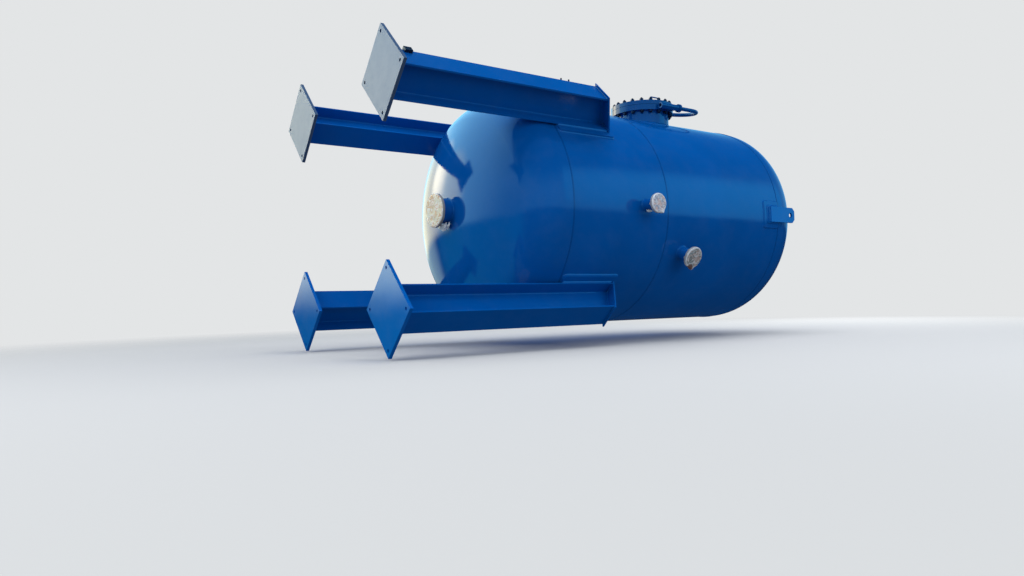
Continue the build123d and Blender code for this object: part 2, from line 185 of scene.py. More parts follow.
class FinishColours(bpy.types.PropertyGroup):
    """Colours of the finishes"""

    paint: FloatVectorProperty(
        name="Paint", description="Colour of the gloss enamel", subtype="COLOR", size=3,
        default=(0.0, 0.089, 0.381), min=0.0, max=1.0,
    )
    film: FloatVectorProperty(
        name="Film", description="Colour of the film where it doubles up", subtype="COLOR", size=3,
        default=(0.58, 0.62, 0.67), min=0.0, max=1.0,
    )


class FastenerSizes(bpy.types.PropertyGroup):
    """Sizes of the studs and nuts"""

    stud_r: metres("Stud radius", "Radius of the manway's studs", 0.0127, 0.004, 0.03)
    nut_flats: metres("Nut across flats", "Width of the manway's nuts", 0.0413, 0.01, 0.08)
    stud_end: metres("Stud end", "How far a stud stands out of its nut", 0.012, 0.0, 0.05)
    manway_count: IntProperty(
        name="Manway studs", description="Number of studs round the manway", default=20, min=4, max=40,
    )
    hand_stud_r: metres("Handhole stud radius", "Radius of the handhole's studs", 0.0095, 0.004, 0.03)
    hand_stud_end: metres("Handhole stud end", "How far a handhole stud stands out", 0.026, 0.0, 0.05)


class WeldSizes(bpy.types.PropertyGroup):
    """Sizes of the weld beads"""

    seam_width: metres("Seam width", "Width of the butt welds", 0.018, 0.004, 0.05)
    seam_height: metres("Seam height", "Height of the butt welds", 0.0055, 0.0005, 0.01)
    fillet: metres("Fillet leg", "Leg length of the fillet welds", 0.012, 0.003, 0.03)
    ripple: metres("Ripple", "Spacing of the weld's ripples", 0.018, 0.004, 0.05)


class CoverSizes(bpy.types.PropertyGroup):
    """Sizes of the crinkled nozzle covers"""

    crease: metres("Crease depth", "Depth of the creases in the film", 0.004, 0.0, 0.02)
    folds: IntProperty(
        name="Folds", description="Number of gathers round a cover's rim", default=34, min=8, max=80,
    )


# Finishes


def linear(hex_colour):
    """sRGB hex value as linear RGBA."""
    value = [int(hex_colour[i:i + 2], 16) / 255 for i in (1, 3, 5)]
    return tuple(c / 12.92 if c <= 0.04045 else ((c + 0.055) / 1.055) ** 2.4 for c in value) + (1.0,)


def shade(colour, amount):
    """RGBA of a colour made lighter or darker."""
    return tuple(min(1.0, c * amount) for c in colour[:3]) + (1.0,)


def add_node(tree, kind, inputs=None, **settings):
    """Adds one shader node with its settings. Each input is a plain value, another node's output to link, or
    another node, of which the first output in use is linked."""
    made = tree.nodes.new(f"ShaderNode{kind}")
    for key, value in settings.items():
        setattr(made, key, value)
    for key, value in (inputs or {}).items():
        if isinstance(value, bpy.types.Node):
            value = next(output for output in value.outputs if output.enabled)
        if isinstance(value, bpy.types.NodeSocket):
            tree.links.new(value, made.inputs[key])
        else:
            made.inputs[key].default_value = value
    return made


def new_material(name):
    """Node material with nothing in it yet: its tree, and the object coordinates to place patterns by."""
    material = bpy.data.materials.new(name)
    material.use_nodes = True
    tree = material.node_tree
    tree.nodes.clear()
    return tree, add_node(tree, "TexCoord").outputs["Object"]


def inside_of_wall(tree, parts):
    """1 inside the middle of the shell's and heads' walls, else 0. rise is the height past a tangent line.
    A point is inside when it is within the crown's ball, and also within the knuckle's ring or near the
    axis, where the crown alone closes the end."""
    value = {"x": parts.outputs[0], "y": parts.outputs[1], "z": parts.outputs[2]}
    rows = (
        ("x_square", "MULTIPLY", "x", "x"),
        ("square", "MULTIPLY_ADD", "y", "y", "x_square"),
        ("reach", "SQRT", "square"),
        ("below", "SUBTRACT", LOW_TANGENT, "z"),
        ("above", "SUBTRACT", "z", TOP_TANGENT),
        ("past", "MAXIMUM", "below", "above"),
        ("rise", "MAXIMUM", "past", 0.0),
        ("deep", "ADD", "rise", CROWN_DEPTH),
        ("ball", "MULTIPLY_ADD", "deep", "deep", "square"),
        ("in_ball", "LESS_THAN", "ball", (CROWN_R - SHELL_WALL / 2) ** 2),
        ("aside", "SUBTRACT", "reach", SHELL_R - KNUCKLE_R),
        ("beyond", "MAXIMUM", "aside", 0.0),
        ("beyond_square", "MULTIPLY", "beyond", "beyond"),
        ("ring", "MULTIPLY_ADD", "rise", "rise", "beyond_square"),
        ("in_ring", "LESS_THAN", "ring", (KNUCKLE_R - SHELL_WALL / 2) ** 2),
        ("near_axis", "LESS_THAN", "reach", CROWN_EDGE),
        ("closed", "MAXIMUM", "in_ring", "near_axis"),
        ("inside", "MULTIPLY", "in_ball", "closed"),
    )
    for name, operation, *terms in rows:
        inputs = {i: value.get(term, term) for i, term in enumerate(terms)}
        value[name] = add_node(tree, "Math", inputs, operation=operation)
    return value["inside"]


def painted_plate_light(tree, place, parts, colour, rough):
    """Puts painted shade on the rims and a painted reflection of the bright sky on the undersides of the two
    base plates nearer the manway, mottled by stains, over a colour and a roughness."""
    manway_side = add_node(tree, "Math", {0: parts.outputs["Y"], 1: 0.0}, operation="LESS_THAN")
    # Stains of rust and lime, 0.15 m across
    stain = add_node(tree, "TexNoise", {"Vector": place, "Scale": 7.0, "Detail": 7.0, "Roughness": 0.62})
    # The rims up to just under the plates' tops take painted shade, the undersides a painted sky reflection
    rows = ((PLATE_TOP - PAINT_THICK, "#2C4566", "#42597A"), (PAINT_THICK, "#6C7A93", "#969CAD"))
    for top, dark, pale in rows:
        tone = add_node(tree, "Mix", {0: stain, 6: linear(dark), 7: linear(pale)}, data_type="RGBA")
        below = add_node(tree, "Math", {0: parts.outputs["Z"], 1: top}, operation="LESS_THAN")
        painted_light = add_node(tree, "Math", {0: below, 1: manway_side}, operation="MULTIPLY")
        colour = add_node(tree, "Mix", {0: painted_light, 6: colour, 7: tone}, data_type="RGBA")
        rough = add_node(tree, "Mix", {0: painted_light, 2: rough, 3: 0.5})
    return colour, rough


def enamel(name, dust, depth=1.0, lined=False, painted_light=False):
    """Two-pack polyurethane enamel, sprayed over blasted plate: a deep colour under a hard gloss, fine orange
    peel, and the slow waves of rolled plate. Dust greys it in clouds, and depth is how light the coat is;
    below 1 it is painted shade. A lined vessel has dull black rubber inside its shell, and on the plates the
    two nearer the manway take painted shade on their rims and a painted sky reflection on their undersides."""
    tree, place = new_material(name)
    paint = bpy.context.scene.vessel_finish.paint
    # Spray passes, about 0.6 m across
    spray = add_node(tree, "TexNoise", {"Vector": place, "Scale": 1.7, "Detail": 3.0})
    tones = {0: spray, 6: shade(paint, 0.86 * depth), 7: shade(paint, 1.12 * depth)}
    tone = add_node(tree, "Mix", tones, data_type="RGBA")
    # Dust in clouds 0.2 m across that break up into 5 mm specks
    cloud = add_node(tree, "TexNoise", {"Vector": place, "Scale": 5.5, "Detail": 8.0, "Roughness": 0.7})
    cover = add_node(tree, "MapRange", {"Value": cloud, "From Min": 0.45, "From Max": 0.85, "To Max": dust})
    colour = add_node(tree, "Mix", {0: cover, 6: tone, 7: linear("#8F9AA8")}, data_type="RGBA")
    gloss = {"Value": cloud, "From Min": 0.3, "From Max": 0.8, "To Min": 0.06, "To Max": 0.15}
    rough = add_node(tree, "MapRange", gloss)
    parts = add_node(tree, "SeparateXYZ", {0: place})
    if lined:
        inside = inside_of_wall(tree, parts)
        colour = add_node(tree, "Mix", {0: inside, 6: colour, 7: linear("#1B1C1E")}, data_type="RGBA")
        rough = add_node(tree, "Mix", {0: inside, 2: rough, 3: 0.62})
    # Painted shade on the rims and a painted sky reflection under the plates nearer the manway
    if painted_light:
        colour, rough = painted_plate_light(tree, place, parts, colour, rough)
    # Plate waves 0.4 m long and under 1 mm deep, and orange peel in 6 mm cells
    wave = add_node(tree, "TexNoise", {"Vector": place, "Scale": 2.4, "Detail": 1.0})
    waves = add_node(tree, "Bump", {"Height": wave, "Strength": 0.5, "Distance": 0.0035})
    peel = add_node(tree, "TexNoise", {"Vector": place, "Scale": 160.0, "Detail": 1.0})
    skin = add_node(tree, "Bump", {"Height": peel, "Normal": waves, "Strength": 0.12, "Distance": 0.0006})
    look = {"Base Color": colour, "Roughness": rough, "Normal": skin, "IOR": 1.5}
    add_node(tree, "OutputMaterial", {0: add_node(tree, "BsdfPrincipled", look)})


def stretch_film(node, warm, cool, painted_light_level, ring, back, stain=None):
    """Polyethylene film stretched over the board on a nozzle's flange. The board shows through the front in
    warm and cool patches; the film is silvery where it doubles up, which is round the edge from the ring, a
    share of the flange's radius, and its creases carry painted highlights. Down the sides and behind it is
    darker by the factor back, which is painted shade, and each cover's film is made lighter or darker as
    painted light and shade. stain is the middle and the radius of a patch of rust."""
    tree, place = new_material(f"polyethylene_film_on_{node}")
    face, axis, reach = NOZZLES[node]
    film = shade(bpy.context.scene.vessel_finish.film, painted_light_level)
    # The front's middle shows the board, and the film is silvery beyond the ring, whose edge wanders
    out = add_node(tree, "VectorMath", {0: place, 1: tuple(face)}, operation="SUBTRACT")
    aside = add_node(tree, "VectorMath", {0: out, 1: tuple(axis)}, operation="CROSS_PRODUCT")
    radius = add_node(tree, "VectorMath", {0: aside}, operation="LENGTH")
    wander = add_node(tree, "TexNoise", {"Vector": place, "Scale": 24.0, "Detail": 4.0})
    uneven = add_node(tree, "Math", {0: wander, 1: 0.4 * reach, 2: radius}, operation="MULTIPLY_ADD")
    begins, full = (ring + 0.2) * reach, (ring + 0.28) * reach
    edge = add_node(tree, "MapRange", {"Value": uneven, "From Min": begins, "From Max": full})
    # Painted shade down the sides and behind the face, where the film's colour is scaled by back
    level = add_node(tree, "VectorMath", {0: out, 1: tuple(axis)}, operation="DOT_PRODUCT")
    behind = add_node(tree, "MapRange", {"Value": level, "From Min": 0.001, "From Max": -0.009})
    # Patches of board 60 mm across
    patch = add_node(tree, "TexNoise", {"Vector": place, "Scale": 17.0, "Detail": 5.0, "Roughness": 0.6})
    share = add_node(tree, "MapRange", {"Value": patch, "From Min": 0.45, "From Max": 0.55})
    board = add_node(tree, "Mix", {0: share, 6: linear(cool), 7: linear(warm)}, data_type="RGBA")
    # Creases 10 mm wide, coarse enough to show, where a twisted noise passes its middle value. They are
    # painted highlights in the film's colour, and bump the surface too
    twist = add_node(tree, "TexNoise", {"Vector": place, "Scale": 15.0, "Detail": 3.0, "Distortion": 1.3})
    off = add_node(tree, "Math", {0: twist, 1: 0.5}, operation="SUBTRACT")
    near = add_node(tree, "Math", {0: off}, operation="ABSOLUTE")
    crease = add_node(tree, "MapRange", {"Value": near, "From Max": 0.07, "To Min": 0.9, "To Max": 0.0})
    silver_and_highlight = add_node(tree, "Math", {0: edge, 1: crease}, operation="MAXIMUM")
    front = add_node(tree, "Mix", {0: silver_and_highlight, 6: board, 7: film}, data_type="RGBA")
    colour = add_node(tree, "Mix", {0: behind, 6: front, 7: shade(film, back)}, data_type="RGBA")
    if stain:
        middle, size = stain
        apart = add_node(tree, "VectorMath", {0: place, 1: middle}, operation="DISTANCE")
        rust = add_node(tree, "MapRange", {"Value": apart, "From Min": size, "From Max": 0.7 * size})
        colour = add_node(tree, "Mix", {0: rust, 6: colour, 7: linear("#6B5450")}, data_type="RGBA")
    bump = add_node(tree, "Bump", {"Height": crease, "Strength": 0.8, "Distance": 0.003})
    look = {"Base Color": colour, "Roughness": 0.28, "Normal": bump, "IOR": 1.5}
    add_node(tree, "OutputMaterial", {0: add_node(tree, "BsdfPrincipled", look)})


def loose_film():
    """Torn ends of white polyethylene film, crumpled: pale, with a soft gloss and fine creases."""
    tree, place = new_material("polyethylene_film_torn")
    fold = add_node(tree, "TexNoise", {"Vector": place, "Scale": 60.0, "Detail": 4.0, "Distortion": 0.8})
    tone = add_node(tree, "Mix", {0: fold, 6: linear("#C9D6E2"), 7: linear("#F2F4F6")}, data_type="RGBA")
    bump = add_node(tree, "Bump", {"Height": fold, "Strength": 0.7, "Distance": 0.002})
    look = {"Base Color": tone, "Roughness": 0.35, "Normal": bump, "IOR": 1.5}
    add_node(tree, "OutputMaterial", {0: add_node(tree, "BsdfPrincipled", look)})


def rubber():
    """Moulded black EPDM rubber: nearly black, dull, with a fine grain."""
    tree, place = new_material("epdm_rubber_moulded")
    grain = add_node(tree, "TexNoise", {"Vector": place, "Scale": 400.0, "Detail": 2.0})
    tone = add_node(tree, "Mix", {0: grain, 6: linear("#17181A"), 7: linear("#2A2B2D")}, data_type="RGBA")
    bump = add_node(tree, "Bump", {"Height": grain, "Strength": 0.3, "Distance": 0.0003})
    look = {"Base Color": tone, "Roughness": 0.65, "Normal": bump, "IOR": 1.52}
    add_node(tree, "OutputMaterial", {0: add_node(tree, "BsdfPrincipled", look)})


def black_oxide(name, overspray):
    """Alloy steel with a black oxide skin, rolled and hot forged: dark with a dull metal sheen. Overspray is
    how much of the enamel's mist lies on it."""
    tree, place = new_material(name)
    blue = shade(bpy.context.scene.vessel_finish.paint, 0.35)
    mist = add_node(tree, "TexNoise", {"Vector": place, "Scale": 40.0, "Detail": 6.0})
    share = add_node(tree, "MapRange", {"Value": mist, "From Min": 0.3, "From Max": 0.7, "To Max": overspray})
    tone = add_node(tree, "Mix", {0: share, 6: linear("#23262C"), 7: blue}, data_type="RGBA")
    bump = add_node(tree, "Bump", {"Height": mist, "Strength": 0.25, "Distance": 0.0004})
    look = {"Base Color": tone, "Roughness": 0.42, "Normal": bump, "Metallic": 0.6}
    add_node(tree, "OutputMaterial", {0: add_node(tree, "BsdfPrincipled", look)})


# Surfaces


def grid_quads(rows, columns, wrap_rows, wrap_columns):
    """Quads of a grid of rows x columns points, joined end to end where a direction wraps."""
    i = np.arange(rows if wrap_rows else rows - 1)
    j = np.arange(columns if wrap_columns else columns - 1)
    i, j = np.meshgrid(i, j, indexing="ij")
    i_next, j_next = (i + 1) % rows, (j + 1) % columns
    corners = [i * columns + j, i_next * columns + j, i_next * columns + j_next, i * columns + j_next]
    return np.stack(corners, axis=-1).reshape(-1, 4)


def add_piece(name, grids, finish, body, sharp=38.0):
    """Joins grids into one mesh object, merges its poles, turns its faces outwards and rides it on a body.
    Each grid is (points as rows x columns x 3, wrap rows, wrap columns)."""
    points, quads, first = [], [], 0
    for grid, wrap_rows, wrap_columns in grids:
        rows, columns = grid.shape[:2]
        points.append(grid.reshape(-1, 3))
        quads.append(grid_quads(rows, columns, wrap_rows, wrap_columns) + first)
        first += rows * columns
    mesh = bpy.data.meshes.new(name)
    mesh.from_pydata(np.concatenate(points), [], np.concatenate(quads).tolist())
    work = bmesh.new()
    work.from_mesh(mesh)
    bmesh.ops.remove_doubles(work, verts=work.verts, dist=1e-6)
    bmesh.ops.dissolve_degenerate(work, edges=work.edges, dist=1e-6)
    bmesh.ops.recalc_face_normals(work, faces=work.faces)
    work.to_mesh(mesh)
    work.free()
    mesh.polygons.foreach_set("use_smooth", np.ones(len(mesh.polygons), dtype=bool))
    mesh.set_sharp_from_angle(angle=math.radians(sharp))
    mesh.materials.append(bpy.data.materials[finish])
    made = bpy.data.objects.new(name, mesh)
    bpy.context.scene.collection.objects.link(made)
    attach(made, body)
    return made


def axes_of(axis):
    """Two unit vectors square to a unit axis and to each other."""
    start = UP if abs(axis[2]) < 0.9 else FRONT
    side = np.cross(start, axis)
    side = side / np.linalg.norm(side)
    return side, np.cross(axis, side)


def placed(grid, origin, axis):
    """A grid in a piece's own x, y, z set at an origin with its z along an axis."""
    side, other = axes_of(axis)
    return origin + grid[..., :1] * side + grid[..., 1:2] * other + grid[..., 2:] * axis


def revolved(radius, height, angle):
    """Surface of revolution: x = r cos a, y = r sin a, z = h, for arrays of radius and height whose columns
    go with the angles."""
    return np.stack([radius * np.cos(angle), radius * np.sin(angle), height + 0 * angle], axis=-1)


# Fasteners


def stud(radius, length, thread, pitch=0.0028, columns=18):
    """Stud: a revolved profile whose ends carry rings of thread, radius r and 0.86 r by turns every half
    pitch, under a chamfered tip."""
    rings = np.arange(2 * int(thread / pitch))
    z_thread = 0.15 * radius + rings * pitch / 2
    r_thread = np.where(rings % 2 == 0, radius, 0.86 * radius)
    r = np.concatenate([[0.0, 0.75 * radius], r_thread, [radius]])
    z = np.concatenate([[0.0, 0.0], z_thread, [thread + 0.002]])
    r = np.concatenate([r, r[::-1]])
    z = np.concatenate([z, length - z[::-1]])
    angle = np.linspace(0, 2 * np.pi, columns, endpoint=False)
    return revolved(r[:, None] + 0 * angle, z[:, None] + 0 * angle, angle)


def hex_nut(flats, height, bore, turn, columns=36):
    """Heavy hex nut as a closed ring section turned about its axis: the outside is flats / 2 over the cosine
    of the angle from the nearest flat's middle, and both faces fall off at 30 degrees beyond a circle just
    inside the flats."""
    angle = np.linspace(0, 2 * np.pi, columns, endpoint=False)
    from_flat = (angle + np.pi / 6) % (np.pi / 3) - np.pi / 6
    corner = flats / 2 / np.cos(from_flat)
    face = 0.92 * flats / 2 + 0 * angle
    drop = (corner - face) * math.tan(math.radians(30))
    inner, base = bore + 0 * angle, 0 * angle
    radius = np.stack([inner, face, corner, corner, face, inner])
    level = np.stack([base, base, drop, height - drop, height + base, height + base])
    return revolved(radius, level, angle + turn)


def studs_on_ring(centre_z, ring_r, count, back, front, radius, flats, stud_end, seed):
    """Grids of studs on a circle about x = 0 on the manway side, with a nut on each end. back and front are
    the y of the two faces that the nuts bear on."""
    rng = np.random.default_rng(seed)
    nut_height = 0.61 * flats
    length = back - front + 2 * (nut_height + stud_end)
    grids = []
    for angle in np.pi / count + np.arange(count) * 2 * np.pi / count:
        x, z = ring_r * math.cos(angle), centre_z + ring_r * math.sin(angle)
        start = np.array([x, back + nut_height + stud_end, z])
        grids.append((placed(stud(radius, length, stud_end + 0.004), start, OUT), False, True))
        for y in (back + nut_height, front):
            nut = hex_nut(flats, nut_height, 0.97 * radius, rng.uniform(0, np.pi / 3))
            grids.append((placed(nut, np.array([x, y, z]), OUT), True, True))
    return grids


# Welds


def respaced(points, normals, size, closed):
    """Stations on a plane outline, two for each ripple, spaced evenly by the length of the weld's toe, which
    lies size away from the outline along its normals. Normals turn evenly round a corner."""
    if closed:
        points, normals = np.vstack([points, points[:1]]), np.vstack([normals, normals[:1]])
    toe = points + size * normals
    length = np.concatenate([[0], np.cumsum(np.linalg.norm(np.diff(toe, axis=0), axis=1))])
    count = max(8, int(length[-1] / (bpy.context.scene.vessel_welds.ripple / 2)))
    at = np.linspace(0, length[-1], count, endpoint=not closed)
    place, normal = (
        np.stack([np.interp(at, length, column) for column in rows.T], axis=1) for rows in (points, normals)
    )
    return place, normal / np.linalg.norm(normal, axis=1, keepdims=True)


def ripples(count, closed, depth=0.10):
    """Size factor of each station: every second one is lower by the depth, and free ends shrink to a
    point."""
    factor = 1 - depth * (np.arange(count) % 2)
    if not closed:
        factor[[0, -1]] = 0.0
    return factor[:, None, None]


def fillet_weld(place, side_a, side_b, size, closed):
    """Grid of a fillet weld: its section runs from P + s a to P + s b along
    P + s (a cos^1.7 t + b sin^1.7 t), t from 0 to 90 degrees, and closes just behind the corner P. A side is
    one vector, or one for each station."""
    t = np.linspace(0, np.pi / 2, 6)
    a = np.concatenate([np.cos(t) ** 1.7, [-0.06]])
    b = np.concatenate([np.sin(t) ** 1.7, [-0.06]])
    section = a[:, None] * side_a[..., None, :] + b[:, None] * side_b[..., None, :]
    return place[:, None, :] + size * ripples(len(place), closed) * section, closed, True


def butt_weld(place, outward, across, closed):
    """Grid of a butt weld's cap: P + s w / 2 across + h (1 - s^2) outward, s from -1 to 1, closed under the
    plate's face. A direction is one vector, or one for each station."""
    sizes = bpy.context.scene.vessel_welds
    s = np.linspace(-1, 1, 7)
    over = np.concatenate([sizes.seam_height * (1 - s ** 2), [-PAINT_THICK, -PAINT_THICK]])
    aside = np.concatenate([s * sizes.seam_width / 2, [0.35 * sizes.seam_width, -0.35 * sizes.seam_width]])
    lift = over[:, None] * ripples(len(place), closed, 0.22)
    spread = aside[:, None] * (1.0 if closed else np.minimum(1.0, ripples(len(place), closed) * 1.2))
    grid = place[:, None, :] + lift * outward[..., None, :] + spread * across[..., None, :]
    return grid, closed, True


def turned(degrees, *vectors):
    """Arrays of vectors turned about the vessel's axis."""
    c, s = math.cos(math.radians(degrees)), math.sin(math.radians(degrees))
    return [v @ np.array([[c, s, 0], [-s, c, 0], [0, 0, 1]]) for v in vectors]


def rounded_outline(width, low, high, corner, arc_points=7):
    """Rectangle with round corners about y = 0, as points and outward normals in y and z."""
    t = np.linspace(0, np.pi / 2, arc_points)
    centres = [(1, high - corner), (-1, high - corner), (-1, low + corner), (1, low + corner)]
    points, normals = [], []
    for quarter, (side, z) in enumerate(centres):
        around = t + quarter * np.pi / 2
        normal = np.stack([np.cos(around), np.sin(around)], axis=1)
        points.append(np.array([side * (width / 2 - corner), z]) + corner * normal)
        normals.append(normal)
    return np.vstack(points), np.vstack(normals)


def round_outline(radius, z, count=48):
    """Circle about y = 0 at a height, as points and outward normals in y and z."""
    t = np.linspace(0, 2 * np.pi, count, endpoint=False)
    normals = np.stack([np.cos(t), np.sin(t)], axis=1)
    return radius * normals + np.array([0.0, z]), normals


def weld_on_shell(outline, surface_r, degrees, size, closed=True):
    """Fillet weld of an outline that stands on a cylinder about the vessel's axis: x = sqrt(R^2 - y^2), one
    side along the level direction at the angle and the other along the cylinder."""
    y_z, normal = respaced(*outline, size, closed)
    y, z = y_z.T
    x = np.sqrt(surface_r ** 2 - y ** 2)
    place = np.stack([x, y, z], axis=1)
    tangent = np.stack([-y, x, 0 * x], axis=1) / surface_r
    along = normal[:, :1] * tangent + normal[:, 1:] * UP
    return fillet_weld(*turned(degrees, place, FRONT, along), size, closed)


def ring_weld(origin, axis, radius, size):
    """Fillet weld round a pipe: P = origin + r (cos t e1 + sin t e2), one side along the axis and the other
    outwards."""
    count = max(16, 2 * int(np.pi * radius / (bpy.context.scene.vessel_welds.ripple / 2)))
    t = np.linspace(0, 2 * np.pi, count, endpoint=False)[:, None]
    side, other = axes_of(axis)
    outward = np.cos(t) * side + np.sin(t) * other
    return fillet_weld(origin + radius * outward, axis, outward, size, True)


def all_quarters(quarter):
    """Points or normals of a quarter outline, mirrored into the other three in order round it."""
    mirrors = (quarter, quarter[::-1] * (1, -1), quarter * (-1, -1), quarter[::-1] * (-1, 1))
    return np.vstack(mirrors)


def beam_outline():
    """Outline of the wide-flange section with its root fillets, as points and outward normals about the
    section's centre. One quarter runs from the web's middle to the flange's outside and is mirrored."""
    depth, width, web = BEAM_DEPTH / 2, BEAM_WIDTH / 2, BEAM_WEB / 2
    face = depth - BEAM_FLANGE
    t = np.linspace(0, np.pi / 2, 5)
    root_centre = np.array([face - BEAM_ROOT, web + BEAM_ROOT])
    root = root_centre + BEAM_ROOT * np.stack([np.sin(t), -np.cos(t)], axis=1)
    root_normals = np.stack([-np.sin(t), np.cos(t)], axis=1)
    tips = np.array([[face, width], [face, width], [depth, width], [depth, width], [depth, 0.0]])
    tip_normals = np.array([[-1.0, 0.0], [0.0, 1.0], [0.0, 1.0], [1.0, 0.0], [1.0, 0.0]])
    points = np.vstack([[[0.0, web]], root, tips])
    normals = np.vstack([[[0.0, 1.0]], root_normals, tip_normals])
    return all_quarters(points), all_quarters(normals)


def beam_weld(degrees, level, slope, upward, size):
    """Fillet weld round the beam on a plate whose height falls by slope per metre outwards. upward is 1 for
    a weld above the plate and -1 for one under it."""
    place, normal = respaced(*beam_outline(), size, True)
    points = np.stack([BEAM_CENTRE + place[:, 0], place[:, 1], level - slope * place[:, 0]], axis=1)
    along = np.stack([normal[:, 0], normal[:, 1], -slope * normal[:, 0]], axis=1)
    along /= np.linalg.norm(along, axis=1, keepdims=True)
    return fillet_weld(*turned(degrees, points, upward * UP, along), size, True)


def cap_weld(degrees, size):
    """Fillet weld between the sloped cap and the wear pad: a line across the pad on the cap's top face."""
    y = np.linspace(-CAP_HALF, CAP_HALF, 34)
    x = np.sqrt((SHELL_R + PAD_THICK) ** 2 - y ** 2)
    z = CAP_LOW + CAP_SLOPE * (BEAM_CENTRE + BEAM_DEPTH / 2 - x)
    down_slope = np.array([1.0, 0.0, -CAP_SLOPE]) / math.hypot(1.0, CAP_SLOPE)
    return fillet_weld(*turned(degrees, np.stack([x, y, z], axis=1), down_slope, UP), size, False)


def girth_seam(z):
    """Butt weld round the shell at a height."""
    count = 2 * int(2 * np.pi * SHELL_R / bpy.context.scene.vessel_welds.ripple)
    t = np.linspace(0, 2 * np.pi, count, endpoint=False)
    outward = np.stack([np.cos(t), np.sin(t), 0 * t], axis=1)
    return butt_weld(SHELL_R * outward + np.array([0.0, 0.0, z]), outward, UP, True)


def long_seam(degrees, low, high):
    """Butt weld up the shell between two heights."""
    z = np.linspace(low, high, 2 * int((high - low) / bpy.context.scene.vessel_welds.ripple))
    outward, across = turned(degrees, FRONT, -OUT)
    return butt_weld(SHELL_R * outward + z[:, None] * UP, outward, across, False)


# Crinkled covers


def crumple(x, y, waves, rng):
    """Height of crumpled film: a sum of |sin| ridges in random directions, three for each wave length and
    as strong as it is long, over their whole strength."""
    height = np.zeros_like(x)
    for length in waves:
        for _ in range(3):
            turn, phase = rng.uniform(0, 2 * np.pi, 2)
            along = x * np.cos(turn) + y * np.sin(turn)
            height += length * np.abs(np.sin(2 * np.pi * along / length + phase))
    return height / (3 * sum(waves))


def film_cover(flange_r, end_r, skirt, taper, tip, seed, columns=180):
    """Closed surface of a cover in its own frame, with the flange's face at z = 0 and z outwards: a front
    disc, a rounded rim, a skirt over the flange, a gathered cone behind it down to the end radius, and
    back inside the film to the centre. tip is the angle and length of a corner of film that sticks out."""
    sizes = bpy.context.scene.vessel_covers
    rng = np.random.default_rng(seed)
    angle = np.linspace(0, 2 * np.pi, columns, endpoint=False)
    outer_r, inner_r = flange_r + 0.0035, flange_r + 0.0005
    front, back, rim, thick = 0.006, 0.0004, 0.014, 0.0015
    disc = (outer_r - rim) * np.linspace(0, 1, 22)[:-1] ** 0.8
    bend = np.linspace(0, np.pi / 2, 7)
    fall = np.linspace(0, 1, 7)
    r_cone = outer_r + fall * (end_r - outer_r)
    z_cone = -skirt - taper * fall ** 1.4
    r = np.concatenate([
        disc, outer_r - rim + rim * np.sin(bend), [outer_r], r_cone,
        r_cone[:0:-1] - thick, [inner_r, inner_r, 0.0],
    ])[:, None]
    z = np.concatenate([
        front + 0 * disc, front - rim + rim * np.cos(bend), [-skirt / 2], z_cone,
        z_cone[:0:-1] + thick, [thick - skirt, back, back],
    ])[:, None]
    # How much each row takes of the front's creases, of the gathers and of the corner
    on_front = (np.arange(len(r)) < len(disc) + len(bend))[:, None] * np.minimum(1.0, 3 * r / outer_r)
    to_rim = (disc / outer_r) ** 8
    edge = np.ones(len(bend) + 1)
    gathered = np.concatenate([0.25 * to_rim, 0.25 * edge, 0.25 + fall, 0.25 + fall[:0:-1], [0.0] * 3])
    pulled = np.concatenate([to_rim, edge, 1 - fall, [0.0] * (len(fall) + 2)])
    relief = crumple(r * np.cos(angle), r * np.sin(angle), (0.12, 0.06, 0.03), rng)
    wobble = rng.uniform(0, 2 * np.pi, 3)
    gather = 0.5 + 0.5 * np.sin(sizes.folds * angle + 2.2 * np.sin(3 * angle + wobble[0]) + wobble[1])
    corner = tip[1] * np.maximum(0.0, np.cos(angle - math.radians(tip[0]))) ** 60
    radius = r + sizes.crease * gathered[:, None] * (gather - 0.2) + pulled[:, None] * corner
    # The cone's end is ragged
    ragged = 0.3 * np.sin(5 * angle + wobble[2]) + 0.2 * np.sin(11 * angle + wobble[0])
    height = z + on_front * sizes.crease * (relief - 0.35) + taper * (gathered[:, None] > 1.2) * ragged
    return revolved(radius, height, angle)


def film_tail(neck_r, start, length, width, hang, degrees, seed):
    """Closed strip of loose film along a neck, in the cover's frame: u runs back along the neck and v across
    it. The strip stands off the neck by h (1 - (2u - 1)^4) (1 - v^2 / 2) and by its crumples, both skins lie
    1.2 mm apart, and both ends are drawn to points."""
    rng = np.random.default_rng(seed)
    u = np.linspace(0, 1, 44)[:, None]
    v = np.concatenate([np.linspace(-1, 1, 26), np.linspace(1, -1, 26)[1:-1]])
    skin = np.concatenate([np.full(26, 0.0006), np.full(24, -0.0006)])
    full = 1 - (2 * u - 1) ** 4
    half = width / 2 * full * (0.8 + 0.2 * np.sin(17 * u + rng.uniform(0, 6)))
    z = -start - length * (u + 0.06 * full * np.sin(2.5 * v + rng.uniform(0, 6)))
    relief = crumple(length * u + 0 * v, half * v, (0.09, 0.045, 0.022), rng)
    radius = neck_r + 0.003 + full * (hang * (1 - v ** 2 / 2) * (0.35 + 1.3 * relief) + skin)
    return revolved(radius, z, math.radians(degrees) + half * v / neck_r)


# Operators


